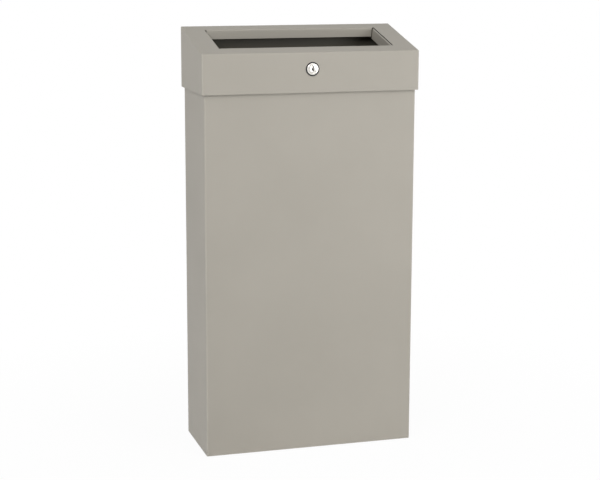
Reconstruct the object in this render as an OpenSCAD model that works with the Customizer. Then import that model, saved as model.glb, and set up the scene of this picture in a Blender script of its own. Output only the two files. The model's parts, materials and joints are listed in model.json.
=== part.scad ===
// Slim steel waste bin with a lift-off sloping hood, a cam lock and a swinging bag frame.
// Z is up and the bin stands on its feet at z = 0. Its front faces -Y, and X runs to the
// right of someone who stands in front of it.

/* [Body] */
// Width of the body over its side walls
body_w = 330; // [290:1:420]
// Depth of the body, front to back
body_d = 133; // [120:1:200]
// Height of the body from its bottom edge to its rim
body_h = 575; // [420:1:800]
// Sheet thickness of the body, the back panel and the base
body_t = 1; // [0.8:0.1:1.5]
// Outside radius of every fold
fold_r = 2; // [1.8:0.1:3]
// Width of the return folded inwards round the rim
rim_return = 10; // [7:0.5:12]
// Width of the returns that hold the back panel
rear_return = 15; // [14:0.5:25]

/* [Hood] */
// Sheet thickness of the hood and of its end cheeks
hood_t = 1.2; // [0.8:0.1:1.5]
// How far the hood stands proud of the body on each side
overhang = 4; // [3:0.25:8]
// Height of the hood's front, from its lower edge to the sloping top
hood_front_h = 60; // [58:1:90]
// Slope of the top, rising to the back, in degrees
hood_slope = 13; // [6:0.5:20]
// How far the skirt hangs below the body's rim
skirt_lap = 20; // [12:0.5:22]

/* [Mouth] */
// Strip of top at each end of the cut-out, across the hood
mouth_side = 32.5; // [30:0.5:60]
// Strip of top in front of the cut-out, along the slope
mouth_front = 28; // [24:0.5:40]
// Strip of top behind the cut-out, along the slope
mouth_back = 24; // [20:0.5:35]
// Depth of the front and back lips, measured square to the top
lip_depth = 14.5; // [8:0.5:16]
// Depth of the end cheeks, measured square to the top
cheek_depth = 18; // [10:0.5:20]
// How far each end cheek stands inside the cut-out's end
cheek_inset = 2; // [1.5:0.5:6]
// Width of each cheek's flange under the top
cheek_flange = 15; // [10:0.5:20]
// Gap between the end of a lip and the cheek
lip_end_gap = 1; // [0.5:0.25:5]
// Gap between the end of a cheek and a lip's face
cheek_end_gap = 0.5; // [0.3:0.1:2]

/* [Hood rests] */
// Sheet thickness of the rests and brackets
bracket_t = 1.5; // [1:0.1:2]
// Height of each rest's welded leg
rest_leg = 15; // [8:0.5:20]
// Depth of each rest's guide inside the rim
guide_depth = 11; // [6:0.5:14]

/* [Lock] */
// Drop of the lock's centre below the hood's front top edge
lock_drop = 25; // [22:0.5:26]
// Diameter of the chromed bezel
bezel_d = 18; // [17.4:0.1:20]
// How far the bezel stands in front of the gasket
bezel_proud = 1.2; // [1:0.1:3]
// Diameter of the black gasket under the bezel
gasket_d = 21; // [20.4:0.1:24]
// Thickness of the gasket
gasket_t = 0.6; // [0.4:0.1:1.5]
// Radius of the bezel's round edge
bezel_edge = 0.8; // [0.4:0.1:0.9]
// Outside diameter of the barrel's thread
barrel_d = 16; // [14.5:0.1:16.6]
// Width across the barrel's two flats
barrel_flats = 13.6; // [13:0.1:14]
// Length of the barrel behind the hood's face
barrel_l = 18; // [14:0.5:20]
// Diameter of the turning plug
plug_d = 11.6; // [10:0.1:12]
// How far the plug's face lies behind the bezel's
plug_sunk = 0.3; // [0.2:0.1:1]
// Width across the nut's flats
nut_flats = 20; // [19:0.5:21]
// Thickness of the nut
nut_t = 4; // [3:0.5:6]
// Height of the keyhole
key_h = 6.8; // [4:0.1:7]
// Width of the keyhole's slot
key_w = 1.6; // [1:0.1:2]
// Diameter of the keyhole's round end
key_round = 2.8; // [2.2:0.1:3.2]
// Depth of the keyhole
key_depth = 8; // [4:0.5:10]
// Reach of the cam from the lock's centre to its tip
cam_reach = 30; // [29:0.5:34]
// Width of the cam's arm
cam_w = 8; // [7:0.5:9]
// Thickness of the cam
cam_t = 2; // [1.5:0.1:3]
// How far the hook stands out of the cam's arm
hook_reach = 7; // [5:0.5:8]
// Height of the hook
hook_h = 5; // [4:0.5:6]
// Side of the square drive between plug and cam
drive_w = 6; // [5:0.5:7]
// Diameter of the cam's hub
cam_hub_d = 12; // [10:0.5:14]
// Diameter of the cam's screw
cam_screw_d = 4; // [3:0.1:4.4]
// Length of the screw's shank
cam_screw_l = 7; // [5:0.5:9]
// Diameter of the screw's head
screw_head_d = 8.5; // [7:0.5:9]
// Height of the screw's head
screw_head_h = 2.6; // [2:0.1:3.5]
// Diameter of the cam's washer
washer_d = 10; // [8:0.5:11]
// Thickness of the cam's washer
washer_t = 0.8; // [0.5:0.1:1.2]
// Width of the catch that the hook grips
catch_w = 26; // [16:1:40]
// Height of the catch's welded leg
catch_leg = 24; // [16:1:40]
// How far the catch reaches past the cam
catch_past_cam = 4; // [2:0.5:8]

/* [Bag frame] */
// Diameter of the frame's steel rod
rod_d = 5; // [4:0.5:6]
// Height of the frame's rod below the rim
frame_drop = 77; // [70:1:120]
// Space between the body's side wall and the frame
frame_side_gap = 15; // [13.5:0.5:30]
// Space between the body's front wall and the frame
frame_front_gap = 9; // [8:0.5:14]
// Radius of the frame's corners, at the middle of the rod
frame_corner_r = 14; // [8:1:24]
// Distance from the back panel to the hinge line
hinge_stand = 9.5; // [8:0.5:14]
// Space between a hinge clip and the boss beside it
clip_boss_gap = 4; // [2:0.5:12]
// Width of each hinge clip
clip_w = 18; // [14:1:28]
// Height of each clip's riveted leg
clip_leg = 18; // [16:1:28]
// Width of the ledge that carries the frame's front
ledge_w = 60; // [30:5:120]
// Height of the ledge's welded leg
ledge_leg = 14; // [8:1:24]
// How far the ledge reaches past the rod
ledge_past_rod = 2; // [1:0.5:6]

/* [Back panel] */
// Distance between the fixing holes, side to side
fix_span_x = 200; // [120:5:230]
// Height of the lower fixing holes above the floor
fix_low_z = 120; // [90:5:140]
// Depth of the upper fixing holes below the rim
fix_top_drop = 117; // [60:1:150]
// Diameter of the fixing holes
fix_hole_d = 6.5; // [5:0.5:8]
// Outside diameter of each pressed boss at the panel
boss_d = 34; // [28:1:44]
// Outside diameter of each boss at its flat face
boss_face_d = 22; // [16:1:24]
// Height of each boss, which keeps the hood clear of a wall
boss_h = 6; // [5.5:0.1:9]
// Height of the folded hem at the panel's top
hem_h = 12; // [8:1:20]
// Number of rivets down each side
rivets_each_side = 5; // [3:1:8]
// Diameter of every rivet's shank
rivet_d = 4; // [3:0.1:5]
// Diameter of every rivet's head
rivet_head_d = 8; // [7:0.1:9]
// Height of every rivet's head
rivet_head_h = 1.4; // [0.8:0.1:2]
// Width of the collar that swells behind each rivet
rivet_collar_d = 5.6; // [5.2:0.1:6.5]
// Height of the lowest side rivet above the floor
rivet_low_z = 56; // [40:1:90]
// Distance from the hood's lower edge down to the top side rivet
rivet_top_gap = 20; // [12:1:60]

/* [Base] */
// Height of the base's flange
base_flange = 14; // [10:1:25]
// Gap between the body's bottom edge and the floor
floor_gap = 2; // [1:0.5:6]
// Diameter of each foot
foot_d = 22; // [16:1:30]
// Distance from the foot's centre to the body's side and front
foot_inset = 24; // [20:1:34]
// How much narrower each foot is at the floor, on each side
foot_taper = 2; // [1:0.5:4]
// Diameter of the stem that holds a foot in the base
foot_stem_d = 8; // [6:0.5:10]
// Height of the snap collar above the base
foot_collar_h = 2; // [1:0.5:3]
// How far the snap collar grips past the stem's hole
foot_collar_grip = 1.5; // [0.5:0.1:2.5]
// How much narrower than the stem its tip is, on each side
foot_tip_taper = 1; // [0.5:0.1:2]

/* [Fits] */
// Running clearance round a pin or the plug
run_fit = 0.1; // [0.05:0.01:0.1]
// Clearance between a rivet, a stem or a thread and its hole
hole_fit = 0.1; // [0.05:0.01:0.2]
// Clearance round a loose sheet part
sheet_fit = 0.2; // [0.1:0.05:0.4]
// Clearance left where a loose piece rests on its seat
seat_gap = 0.2; // [0.1:0.05:0.3]
// Play between the rim and the guides inside it
guide_play = 0.8; // [0.5:0.1:1.5]
// Play between the hook and the catch
hook_play = 1.5; // [1:0.1:2]

/* [Hidden] */
$fn = 48;

over = 40;                                   // how far a cutting tool runs past its work
inner_r = fold_r - body_t;
rim_z = floor_gap + body_h;
wall_x = body_w / 2 - body_t;                // inner face of a side wall
wall_y = body_d / 2 - body_t;                // inner face of the front wall and of the rear returns
panel_in_y = wall_y - body_t;                // inner face of the back panel

hood_w = body_w + 2 * overhang;
hood_d = body_d + 2 * overhang;
hood_x = hood_w / 2 - hood_t;                // inner face of the hood's side
hood_z = rim_z - skirt_lap;                  // lower edge of the skirt
front_top_z = hood_z + hood_front_h;
rise = tan(hood_slope);
top_l = hood_d / cos(hood_slope);            // length of the top along its slope
mouth_w = hood_w - 2 * mouth_side;           // width of the cut-out
mouth_v0 = mouth_front;
mouth_v1 = top_l - mouth_back;
cheek_x = mouth_w / 2 - cheek_inset;         // face of a cheek towards the mouth
lip_x = cheek_x - lip_end_gap;               // end of a lip

guide_x = body_w / 2 - rim_return - guide_play;   // outer face of a rest's guide
guide_y0 = -body_d / 2 + rim_return + guide_play;
guide_y1 = panel_in_y - body_t - guide_play;
rest_z = rim_z + seat_gap;

lock_z = front_top_z - lock_drop;
plug_back = barrel_l + seat_gap;             // depth of the cam's front face behind the hood's face
cam_back = plug_back + cam_t;
screw_hole_r = cam_screw_d / 2 + hole_fit;
catch_z = lock_z - cam_reach + hook_h + hook_play;
catch_x = cam_w / 2 + hook_play;
catch_in_y = -hood_d / 2 + cam_back + catch_past_cam;   // inner edge of the catch

frame_z = rim_z - frame_drop;
frame_x = wall_x - frame_side_gap - rod_d / 2;
frame_y0 = -wall_y + frame_front_gap + rod_d / 2;
frame_y1 = panel_in_y - hinge_stand;
clip_in_r = rod_d / 2 + run_fit;
clip_out_r = clip_in_r + bracket_t;
clip_rivet_z = frame_z - clip_out_r - clip_leg / 2;
clip_drop = clip_leg + clip_out_r;           // from the hinge line to the leg's lower end
rivet_high_z = hood_z - rivet_top_gap;
rivet_x = body_w / 2 - rear_return / 2 - body_t / 2;
base_top_z = floor_gap + body_t + base_flange;
clip_x = fix_span_x / 2 - boss_d / 2 - clip_boss_gap - clip_w / 2;
foot_x = body_w / 2 - foot_inset;
foot_y = body_d / 2 - foot_inset;

// Sections

// Rectangle about the origin with round corners
module soft_rect(w, d, r) {
  square([w - 2 * r, d], center = true);
  square([w, d - 2 * r], center = true);
  for (x = [-1, 1], y = [-1, 1]) translate([x * (w / 2 - r), y * (d / 2 - r)]) circle(r);
}

// Folded angle: the outer corner is at the origin, legs a and b run along +X and +Y
module angle_section(a, b, t, r) {
  translate([r, 0]) square([a - r, t]);
  translate([0, r]) square([t, b - r]);
  intersection() {
    translate([r, r]) difference() {
      circle(r);
      circle(r - t);
    }
    square(r);
  }
}

// Profile of the hood from the side, drawn in Y and Z, inset from the outer faces.
// Both top corners are round and the foot runs below the skirt's edge.
module hood_side(inset, r) {
  y0 = -hood_d / 2 + inset;
  y1 = hood_d / 2 - inset;
  drop = inset / cos(hood_slope);
  z0 = front_top_z + inset * rise - drop;
  z1 = z0 + (y1 - y0) * rise;
  a0 = (90 + hood_slope) / 2;                // half of the angle inside the front corner
  a1 = (90 - hood_slope) / 2;
  t0 = r / tan(a0);                          // from the corner to where its round starts
  t1 = r / tan(a1);
  polygon([
    [y0, hood_z - over], [y1, hood_z - over],
    [y1, z1 - t1], [y1 - t1 * cos(hood_slope), z1 - t1 * sin(hood_slope)],
    [y0 + t0 * cos(hood_slope), z0 + t0 * sin(hood_slope)], [y0, z0 - t0]
  ]);
  translate([y0 + r, z0 - t0]) circle(r);
  translate([y1 - r, z1 - t1]) circle(r);
}

// Frames of reference

// The sloping top: X across, Y up the slope from the front edge, Z out of the sheet
module on_top() {
  translate([0, -hood_d / 2, front_top_z]) rotate([hood_slope, 0, 0]) children();
}

// The lock: its axis is Z, which points out of the hood's front
module on_lock() {
  translate([0, -hood_d / 2, lock_z]) rotate([90, 0, 0]) children();
}

// A profile drawn in Y and Z, made w wide about the middle
module across(w) {
  translate([-w / 2, 0, 0]) rotate([90, 0, 90]) linear_extrude(w) children();
}

module at_rivets() {
  step = (rivet_high_z - rivet_low_z) / (rivets_each_side - 1);
  for (side = [-1, 1], i = [0 : rivets_each_side - 1])
    translate([side * rivet_x, body_d / 2, rivet_low_z + i * step]) rotate([-90, 0, 0]) children();
}

module at_clip_rivets() {
  for (side = [-1, 1])
    translate([side * clip_x, panel_in_y + body_t, clip_rivet_z]) rotate([-90, 0, 0]) children();
}

module at_feet() {
  for (x = [-1, 1], y = [-1, 1]) translate([x * foot_x, y * foot_y, 0]) children();
}

// Closed box with every edge round
module soft_box(w, d, z0, z1, r) {
  h = z1 - z0;
  intersection() {
    translate([0, 0, z0]) linear_extrude(h) soft_rect(w, d, r);
    translate([0, 0, z0 + h / 2 - over / 2]) across(w + over) soft_rect(d, h + over, r);
    translate([0, d / 2 + over / 2, z0 + h / 2 - over / 2]) rotate([90, 0, 0])
      linear_extrude(d + over) soft_rect(w, h + over, r);
  }
}

// Body

// Front and side walls folded from one sheet, with returns at the rim and at the rear
module body_shell() {
  color("#aba79d") difference() {
    soft_box(body_w, body_d, floor_gap, rim_z, fold_r);
    translate([0, 0, -over])
      soft_box(2 * wall_x, 2 * wall_y, floor_gap, rim_z - body_t + over, inner_r);
    rim_window();
    // Opening between the rear returns
    translate([-body_w / 2 + rear_return, 0, 0]) cube([body_w - 2 * rear_return, body_d, rim_z + over]);
    // Room for the back panel under the side returns
    translate([-wall_x, panel_in_y - sheet_fit, rim_z - body_t - over])
      cube([2 * wall_x, body_t + sheet_fit, 2 * over]);
    at_rivets() cylinder(h = over, r = rivet_d / 2 + hole_fit, center = true);
  }
}

module rim_window() {
  translate([-body_w / 2 + rim_return, -body_d / 2 + rim_return, rim_z - over])
    cube([body_w - 2 * rim_return, body_d, 2 * over]);
}

// Flat panel between the walls, with a hem at its top and four bosses for wall screws
module back_panel() {
  w = 2 * (wall_x - inner_r - sheet_fit);    // clear of the folds at the rear corners
  z0 = floor_gap;
  z1 = rim_z - body_t - sheet_fit;
  color("#a29e94") difference() {
    union() {
      across(w) {
        translate([panel_in_y, z0]) square([body_t, z1 - body_t - z0]);
        translate([panel_in_y - body_t, z1 - hem_h]) square([2 * body_t, hem_h - body_t]);
        translate([panel_in_y, z1 - body_t]) circle(body_t);
      }
      at_bosses() {
        cylinder(h = boss_h, r1 = boss_d / 2, r2 = boss_face_d / 2);
        translate([0, 0, -body_t / 2]) cylinder(h = body_t / 2, r = boss_d / 2);
      }
    }
    at_bosses() translate([0, 0, -body_t])
      cylinder(h = boss_h, r1 = boss_d / 2 - body_t, r2 = boss_face_d / 2 - body_t);
    at_bosses() cylinder(h = 2 * over, r = fix_hole_d / 2, center = true);
    at_rivets() cylinder(h = over, r = rivet_d / 2 + hole_fit, center = true);
    at_clip_rivets() cylinder(h = over, r = rivet_d / 2 + hole_fit, center = true);
  }
}

module at_bosses() {
  for (x = [-1, 1], z = [fix_low_z, rim_z - fix_top_drop])
    translate([x * fix_span_x / 2, panel_in_y + body_t, z])
      rotate([-90, 0, 0]) children();
}

// Domed blind rivet: z = 0 is the sheet's outer face, and the shank runs down through it
module rivet(grip) {
  dome_r = (rivet_head_d * rivet_head_d / 4 + rivet_head_h * rivet_head_h) / (2 * rivet_head_h);
  intersection() {
    translate([0, 0, rivet_head_h - dome_r]) sphere(dome_r);
    cylinder(h = 2 * rivet_head_h, r = rivet_head_d / 2);
  }
  translate([0, 0, -grip]) cylinder(h = grip, r = rivet_d / 2);
  translate([0, 0, -grip - rivet_head_h]) cylinder(h = rivet_head_h, r = rivet_collar_d / 2);
}

module panel_rivets() {
  color("#b9bab8") at_rivets() rivet(2 * body_t);
}

// Base with its flanges turned down, welded between the walls
module base_tray() {
  w = 2 * wall_x;
  y0 = -wall_y;
  d = wall_y + panel_in_y;
  color("#9b988f") difference() {
    translate([0, y0 + d / 2, 0]) soft_box(w, d, base_top_z - base_flange, base_top_z, fold_r);
    translate([0, y0 + d / 2, -over]) soft_box(w - 2 * body_t, d - 2 * body_t,
      base_top_z - base_flange, base_top_z - body_t + over, inner_r);
    at_feet() cylinder(h = rim_z, r = foot_stem_d / 2 + hole_fit);
  }
}

// Push-in foot: a tapered block under the base, a stem through it and a snap collar above
module rubber_feet() {
  under = base_top_z - body_t;
  color("#26262a") at_feet() {
    cylinder(h = under, r1 = foot_d / 2 - foot_taper, r2 = foot_d / 2);
    cylinder(h = base_top_z, r = foot_stem_d / 2);
    translate([0, 0, base_top_z])
      cylinder(h = foot_collar_h, r1 = foot_stem_d / 2 + foot_collar_grip,
        r2 = foot_stem_d / 2 - foot_tip_taper);
  }
}

// Angle welded behind the front wall: the cam's hook grips under its shelf
module catch_bracket() {
  shelf = catch_in_y + wall_y;
  color("#8f8d86") translate([catch_x, 0, 0]) intersection() {
    translate([catch_w / 2, -wall_y, catch_z + bracket_t]) mirror([0, 0, 1]) across(catch_w)
      angle_section(shelf, catch_leg, bracket_t, fold_r);
    translate([0, -body_d / 2, catch_z - catch_leg]) cube([catch_w, body_d, 2 * catch_leg]);
  }
}

// Ledge welded behind the front wall, under the front of the bag frame
module frame_ledge() {
  ledge_z = frame_z - rod_d / 2 - seat_gap;
  shelf = frame_front_gap + rod_d + ledge_past_rod;
  color("#8f8d86") translate([0, -wall_y, ledge_z]) mirror([0, 0, 1]) across(ledge_w)
    angle_section(shelf, ledge_leg, bracket_t, fold_r);
}

// Strip curled round the frame's rear rod and riveted to the back panel
module hinge_clip() {
  color("#8f8d86") difference() {
    across(clip_w) {
      difference() {
        union() {
          translate([frame_y1, frame_z]) circle(clip_out_r);
          translate([frame_y1, frame_z - clip_out_r])
            square([panel_in_y - frame_y1, bracket_t]);
          translate([panel_in_y - bracket_t, frame_z - clip_drop])
            square([bracket_t, clip_drop - clip_out_r + bracket_t]);
        }
        translate([frame_y1, frame_z]) circle(clip_in_r);
      }
    }
    translate([0, 0, clip_rivet_z]) rotate([-90, 0, 0])
      cylinder(h = body_d, r = rivet_d / 2 + hole_fit);
  }
}

module clip_rivets() {
  color("#b9bab8") at_clip_rivets() rivet(body_t + bracket_t);
}

// Closed loop of round rod that the bag's neck folds over
module bag_frame() {
  r = frame_corner_r;
  mid_y = (frame_y0 + frame_y1) / 2;
  half_y = (frame_y1 - frame_y0) / 2;
  color("#c9cbcc") translate([0, mid_y, frame_z]) {
    for (side = [-1, 1]) {
      translate([-frame_x + r, side * half_y, 0]) rotate([0, 90, 0])
        cylinder(h = 2 * (frame_x - r), r = rod_d / 2);
      translate([side * frame_x, half_y - r, 0]) rotate([90, 0, 0])
        cylinder(h = 2 * (half_y - r), r = rod_d / 2);
    }
    for (corner = [0 : 3])
      translate([(corner == 0 || corner == 3 ? 1 : -1) * (frame_x - r),
        (corner < 2 ? 1 : -1) * (half_y - r), 0])
        rotate([0, 0, corner * 90]) rotate_extrude(angle = 90) translate([r, 0]) circle(rod_d / 2);
  }
}

// Hood

// Space inside the hood's sheet, or its outside when inset is 0
module hood_form(inset) {
  r = fold_r - inset;
  intersection() {
    translate([0, 0, hood_z - (inset > 0 ? over / 2 : 0)]) linear_extrude(front_top_z + hood_d)
      soft_rect(hood_w - 2 * inset, hood_d - 2 * inset, r);
    across(hood_w + over) hood_side(inset, r);
    on_top() translate([0, top_l + over, -inset - front_top_z]) rotate([90, 0, 0])
      linear_extrude(top_l + 2 * over) soft_rect(hood_w - 2 * inset, 2 * front_top_z, r);
  }
}

// Fold and leg of one lip, drawn in the slope's Y and Z, its face at y = 0 towards -Y.
// Its flat part lies within the top, so that the two are one sheet.
module lip_section() {
  translate([fold_r, -hood_t]) square([hood_t, hood_t]);
  translate([0, -lip_depth]) square([hood_t, lip_depth - fold_r]);
  intersection() {
    translate([fold_r, -fold_r]) difference() {
      circle(fold_r);
      circle(fold_r - hood_t);
    }
    translate([0, -fold_r]) square(fold_r);
  }
}

// Four-sided skirt and sloping top in one sheet, its corners welded, with lips folded down
// in front of and behind the mouth
module hood_shell() {
  color("#aba79d") {
    difference() {
      hood_form(0);
      hood_form(hood_t);
      on_top() translate([-mouth_w / 2, mouth_v0 - fold_r, -over / 2])
        cube([mouth_w, mouth_v1 - mouth_v0 + 2 * fold_r, over]);
      on_lock() linear_extrude(2 * over, center = true) barrel_section(hole_fit);
    }
    on_top() {
      translate([0, mouth_v1, 0]) across(2 * lip_x) lip_section();
      translate([0, mouth_v0, 0]) mirror([0, 1, 0]) across(2 * lip_x) lip_section();
    }
  }
}

// Angle under the top that closes one end of the mouth
module end_cheek() {
  l = mouth_v1 - mouth_v0 - 2 * cheek_end_gap;
  color("#a29e94") on_top() translate([cheek_x, mouth_v1 - cheek_end_gap, -hood_t]) rotate([90, 0, 0])
    linear_extrude(l) mirror([0, 1]) angle_section(cheek_flange, cheek_depth - hood_t, hood_t, fold_r);
}

// Rest under one side of the hood: a leg welded to the skirt, a shelf that stands on the
// body's rim and a guide that drops inside it
module hood_rest() {
  t = bracket_t;
  x0 = guide_x - t;
  color("#8f8d86") translate([0, guide_y1, 0]) rotate([90, 0, 0]) linear_extrude(guide_y1 - guide_y0) {
    translate([x0, rest_z + t]) mirror([0, 1])
      angle_section(hood_x - t - x0, guide_depth + t, t, fold_r);
    translate([hood_x, rest_z]) mirror([1, 0]) angle_section(2 * t, rest_leg + t, t, fold_r);
  }
}

// Lock

module barrel_section(fit) {
  intersection() {
    circle(barrel_d / 2 + fit);
    square([barrel_flats + 2 * fit, barrel_d + 4 * fit], center = true);
  }
}

module lock_gasket() {
  color("#1f1f21") on_lock() difference() {
    cylinder(h = gasket_t, r = gasket_d / 2);
    cylinder(h = over, r = barrel_d / 2 + hole_fit, center = true);
  }
}

// Chromed bezel and threaded barrel, bored for the plug
module lock_housing() {
  edge = bezel_edge;
  color("#d8dadb") on_lock() difference() {
    union() {
      translate([0, 0, gasket_t]) rotate_extrude() {
        square([bezel_d / 2, bezel_proud - edge]);
        square([bezel_d / 2 - edge, bezel_proud]);
        intersection() {
          translate([bezel_d / 2 - edge, bezel_proud - edge]) circle(edge);
          square([bezel_d, bezel_d]);
        }
      }
      translate([0, 0, -barrel_l]) linear_extrude(barrel_l + gasket_t) barrel_section(0);
    }
    cylinder(h = 2 * over, r = plug_d / 2 + run_fit, center = true);
  }
}

module lock_nut() {
  color("#b9bab8") on_lock() translate([0, 0, -hood_t - nut_t]) difference() {
    cylinder(h = nut_t, r = nut_flats / 2 / cos(30), $fn = 6);
    cylinder(h = over, r = barrel_d / 2 + hole_fit, center = true);
  }
}

// Turning plug with its keyhole in front and a square drive for the cam behind
module lock_plug() {
  face = gasket_t + bezel_proud - plug_sunk;
  color("#d8dadb") on_lock() difference() {
    union() {
      translate([0, 0, -barrel_l]) cylinder(h = barrel_l + face, r = plug_d / 2);
      translate([-drive_w / 2, -drive_w / 2, -cam_back]) cube([drive_w, drive_w, cam_back]);
    }
    translate([0, 0, face - key_depth]) linear_extrude(over) keyhole();
    translate([0, 0, -cam_back]) cylinder(h = 2 * cam_screw_l, r = screw_hole_r, center = true);
  }
}

module keyhole() {
  translate([0, key_h / 10]) {
    translate([-key_w / 2, -key_h / 2 + key_round / 2]) square([key_w, key_h - key_round / 2]);
    translate([0, -key_h / 2 + key_round / 2]) circle(key_round / 2);
  }
}

// Hooked cam, drawn unlocked: its arm points left, and a quarter turn drops it to the catch
module lock_cam() {
  color("#b9bab8") on_lock() translate([0, 0, -cam_back]) linear_extrude(cam_t) difference() {
    union() {
      circle(cam_hub_d / 2);
      translate([-cam_reach, -cam_w / 2]) square([cam_reach, cam_w]);
      translate([-cam_reach, -cam_w / 2 - hook_reach]) square([hook_h, cam_w + hook_reach]);
    }
    square(drive_w + 2 * hole_fit, center = true);
  }
}

module cam_washer() {
  color("#b9bab8") on_lock() translate([0, 0, -cam_back - washer_t]) difference() {
    cylinder(h = washer_t, r = washer_d / 2);
    cylinder(h = over, r = screw_hole_r, center = true);
  }
}

module cam_screw() {
  color("#b9bab8") on_lock() translate([0, 0, -cam_back - washer_t]) {
    cylinder(h = cam_screw_l, r = cam_screw_d / 2);
    translate([0, 0, -screw_head_h]) cylinder(h = screw_head_h, r = screw_head_d / 2);
  }
}

body_shell();
back_panel();
panel_rivets();
base_tray();
rubber_feet();
catch_bracket();
frame_ledge();
translate([-clip_x, 0, 0]) hinge_clip();  // hinge_clip_left
translate([clip_x, 0, 0]) hinge_clip();  // hinge_clip_right
clip_rivets();
bag_frame();
hood_shell();
mirror([1, 0, 0]) end_cheek();  // end_cheek_left
end_cheek();  // end_cheek_right
mirror([1, 0, 0]) hood_rest();  // hood_rest_left
hood_rest();  // hood_rest_right
lock_gasket();
lock_housing();
lock_nut();
lock_plug();
lock_cam();
cam_washer();
cam_screw();
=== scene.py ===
import json
from math import cos, pi, radians, tan

import bmesh
import bpy
from mathutils import Matrix, Vector


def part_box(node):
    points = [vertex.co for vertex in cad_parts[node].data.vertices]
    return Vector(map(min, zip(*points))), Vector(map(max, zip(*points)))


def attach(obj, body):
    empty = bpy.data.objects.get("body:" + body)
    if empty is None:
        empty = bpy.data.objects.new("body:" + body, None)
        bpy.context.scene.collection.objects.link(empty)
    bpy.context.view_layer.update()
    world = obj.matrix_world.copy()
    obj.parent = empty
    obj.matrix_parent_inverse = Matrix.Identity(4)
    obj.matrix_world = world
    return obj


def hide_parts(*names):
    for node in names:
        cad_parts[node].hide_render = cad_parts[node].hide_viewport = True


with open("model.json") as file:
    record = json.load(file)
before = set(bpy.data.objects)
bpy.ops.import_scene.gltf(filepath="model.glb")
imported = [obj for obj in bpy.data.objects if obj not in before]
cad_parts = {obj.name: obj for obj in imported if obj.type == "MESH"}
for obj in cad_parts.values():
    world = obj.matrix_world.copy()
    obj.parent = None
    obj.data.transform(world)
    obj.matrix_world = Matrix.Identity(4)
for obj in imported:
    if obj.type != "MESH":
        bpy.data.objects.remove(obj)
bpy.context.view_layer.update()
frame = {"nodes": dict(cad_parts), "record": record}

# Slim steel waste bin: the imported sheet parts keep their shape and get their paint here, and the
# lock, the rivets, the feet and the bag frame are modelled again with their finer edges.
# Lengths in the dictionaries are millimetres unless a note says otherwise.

nodes = frame["nodes"]
toMetres = Matrix.Scale(0.001, 4)
noiseSpan = (0.3, 0.7)     # most of a noise texture's values lie between these


# Small helpers

def linearColour(code):
    # an sRGB hex colour as the linear values that nodes take
    values = [int(code[i:i + 2], 16) / 255 for i in (1, 3, 5)]
    return [v / 12.92 if v <= 0.04045 else ((v + 0.055) / 1.055) ** 2.4 for v in values] + [1.0]


def addNode(tree, kind, settings=None, inputs=None, links=None):
    node = tree.nodes.new(kind)
    for name, value in (settings or {}).items():
        setattr(node, name, value)
    for name, value in (inputs or {}).items():
        node.inputs[name].default_value = value
    for name, socket in (links or {}).items():
        tree.links.new(socket, node.inputs[name])
    return node


def newMaterial(name):
    material = bpy.data.materials.new(name)
    material.use_nodes = True
    material.node_tree.nodes.clear()
    return material, material.node_tree


def finishPiece(name, bm, place, material, body, replaces, smoothBelow=35):
    # from a bmesh in millimetres to an object of the bin, with its place in its mesh
    bmesh.ops.transform(bm, matrix=place @ toMetres, verts=bm.verts)
    mesh = bpy.data.meshes.new(name)
    bm.to_mesh(mesh)
    bm.free()
    mesh.materials.append(material)
    mesh.shade_smooth()
    mesh.set_sharp_from_angle(angle=radians(smoothBelow))
    piece = bpy.data.objects.new(name, mesh)
    bpy.context.scene.collection.objects.link(piece)
    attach(piece, body)
    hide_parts(*replaces)


def drawWire(bm, points, upright=False, closed=True):
    # points are (x, y) or (x, y, radius of that corner), in XZ instead of XY when upright
    place = (lambda x, y: (x, 0, y)) if upright else (lambda x, y: (x, y, 0))
    corners = [bm.verts.new(place(p[0], p[1])) for p in points]
    ends = corners[1:] + corners[:1] if closed else corners[1:]
    for start, end in zip(corners, ends):
        bm.edges.new((start, end))
    for corner, point in zip(corners, points):
        if len(point) > 2:
            bmesh.ops.bevel(bm, geom=[corner], offset=point[2], offset_type="OFFSET", segments=5,
                            profile=0.5, affect="VERTICES", material=-1)


def turnProfile(points, steps=64, closed=True):
    # a (radius, height) profile turned about Z; one that is open starts and ends on the axis
    bm = bmesh.new()
    drawWire(bm, points, upright=True, closed=closed)
    bmesh.ops.spin(bm, geom=bm.verts[:] + bm.edges[:], cent=(0, 0, 0), axis=(0, 0, 1),
                   angle=2 * pi, steps=steps, use_merge=True)
    bmesh.ops.remove_doubles(bm, verts=bm.verts, dist=1e-4)
    bmesh.ops.recalc_face_normals(bm, faces=bm.faces)
    return bm


def madeVerts(made):
    return [item for item in made if isinstance(item, bmesh.types.BMVert)]


def madeEdges(made):
    return [item for item in made if isinstance(item, bmesh.types.BMEdge)]


def fillWires(bm):
    # fills the wires in XY, the inner ones as holes
    bmesh.ops.triangle_fill(bm, use_beauty=True, use_dissolve=False, edges=bm.edges[:],
                            normal=(0, 0, 1))


def cutPlate(bm, thickness):
    # fills the wires and gives the plate its thickness
    fillWires(bm)
    raised = bmesh.ops.extrude_face_region(bm, geom=bm.faces[:])["geom"]
    bmesh.ops.translate(bm, vec=(0, 0, thickness), verts=madeVerts(raised))
    bmesh.ops.recalc_face_normals(bm, faces=bm.faces)


def softenEdges(bm, offset, above=30, segments=2):
    # bevels the edges that turn by more degrees than above
    edges = [e for e in bm.edges
             if len(e.link_faces) == 2 and e.calc_face_angle(0) > radians(above)]
    bmesh.ops.bevel(bm, geom=edges, offset=offset, offset_type="OFFSET", segments=segments,
                    profile=0.5, affect="EDGES", material=-1, clamp_overlap=True)


def moveAll(bm, vec):
    bmesh.ops.translate(bm, vec=vec, verts=bm.verts)


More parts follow.
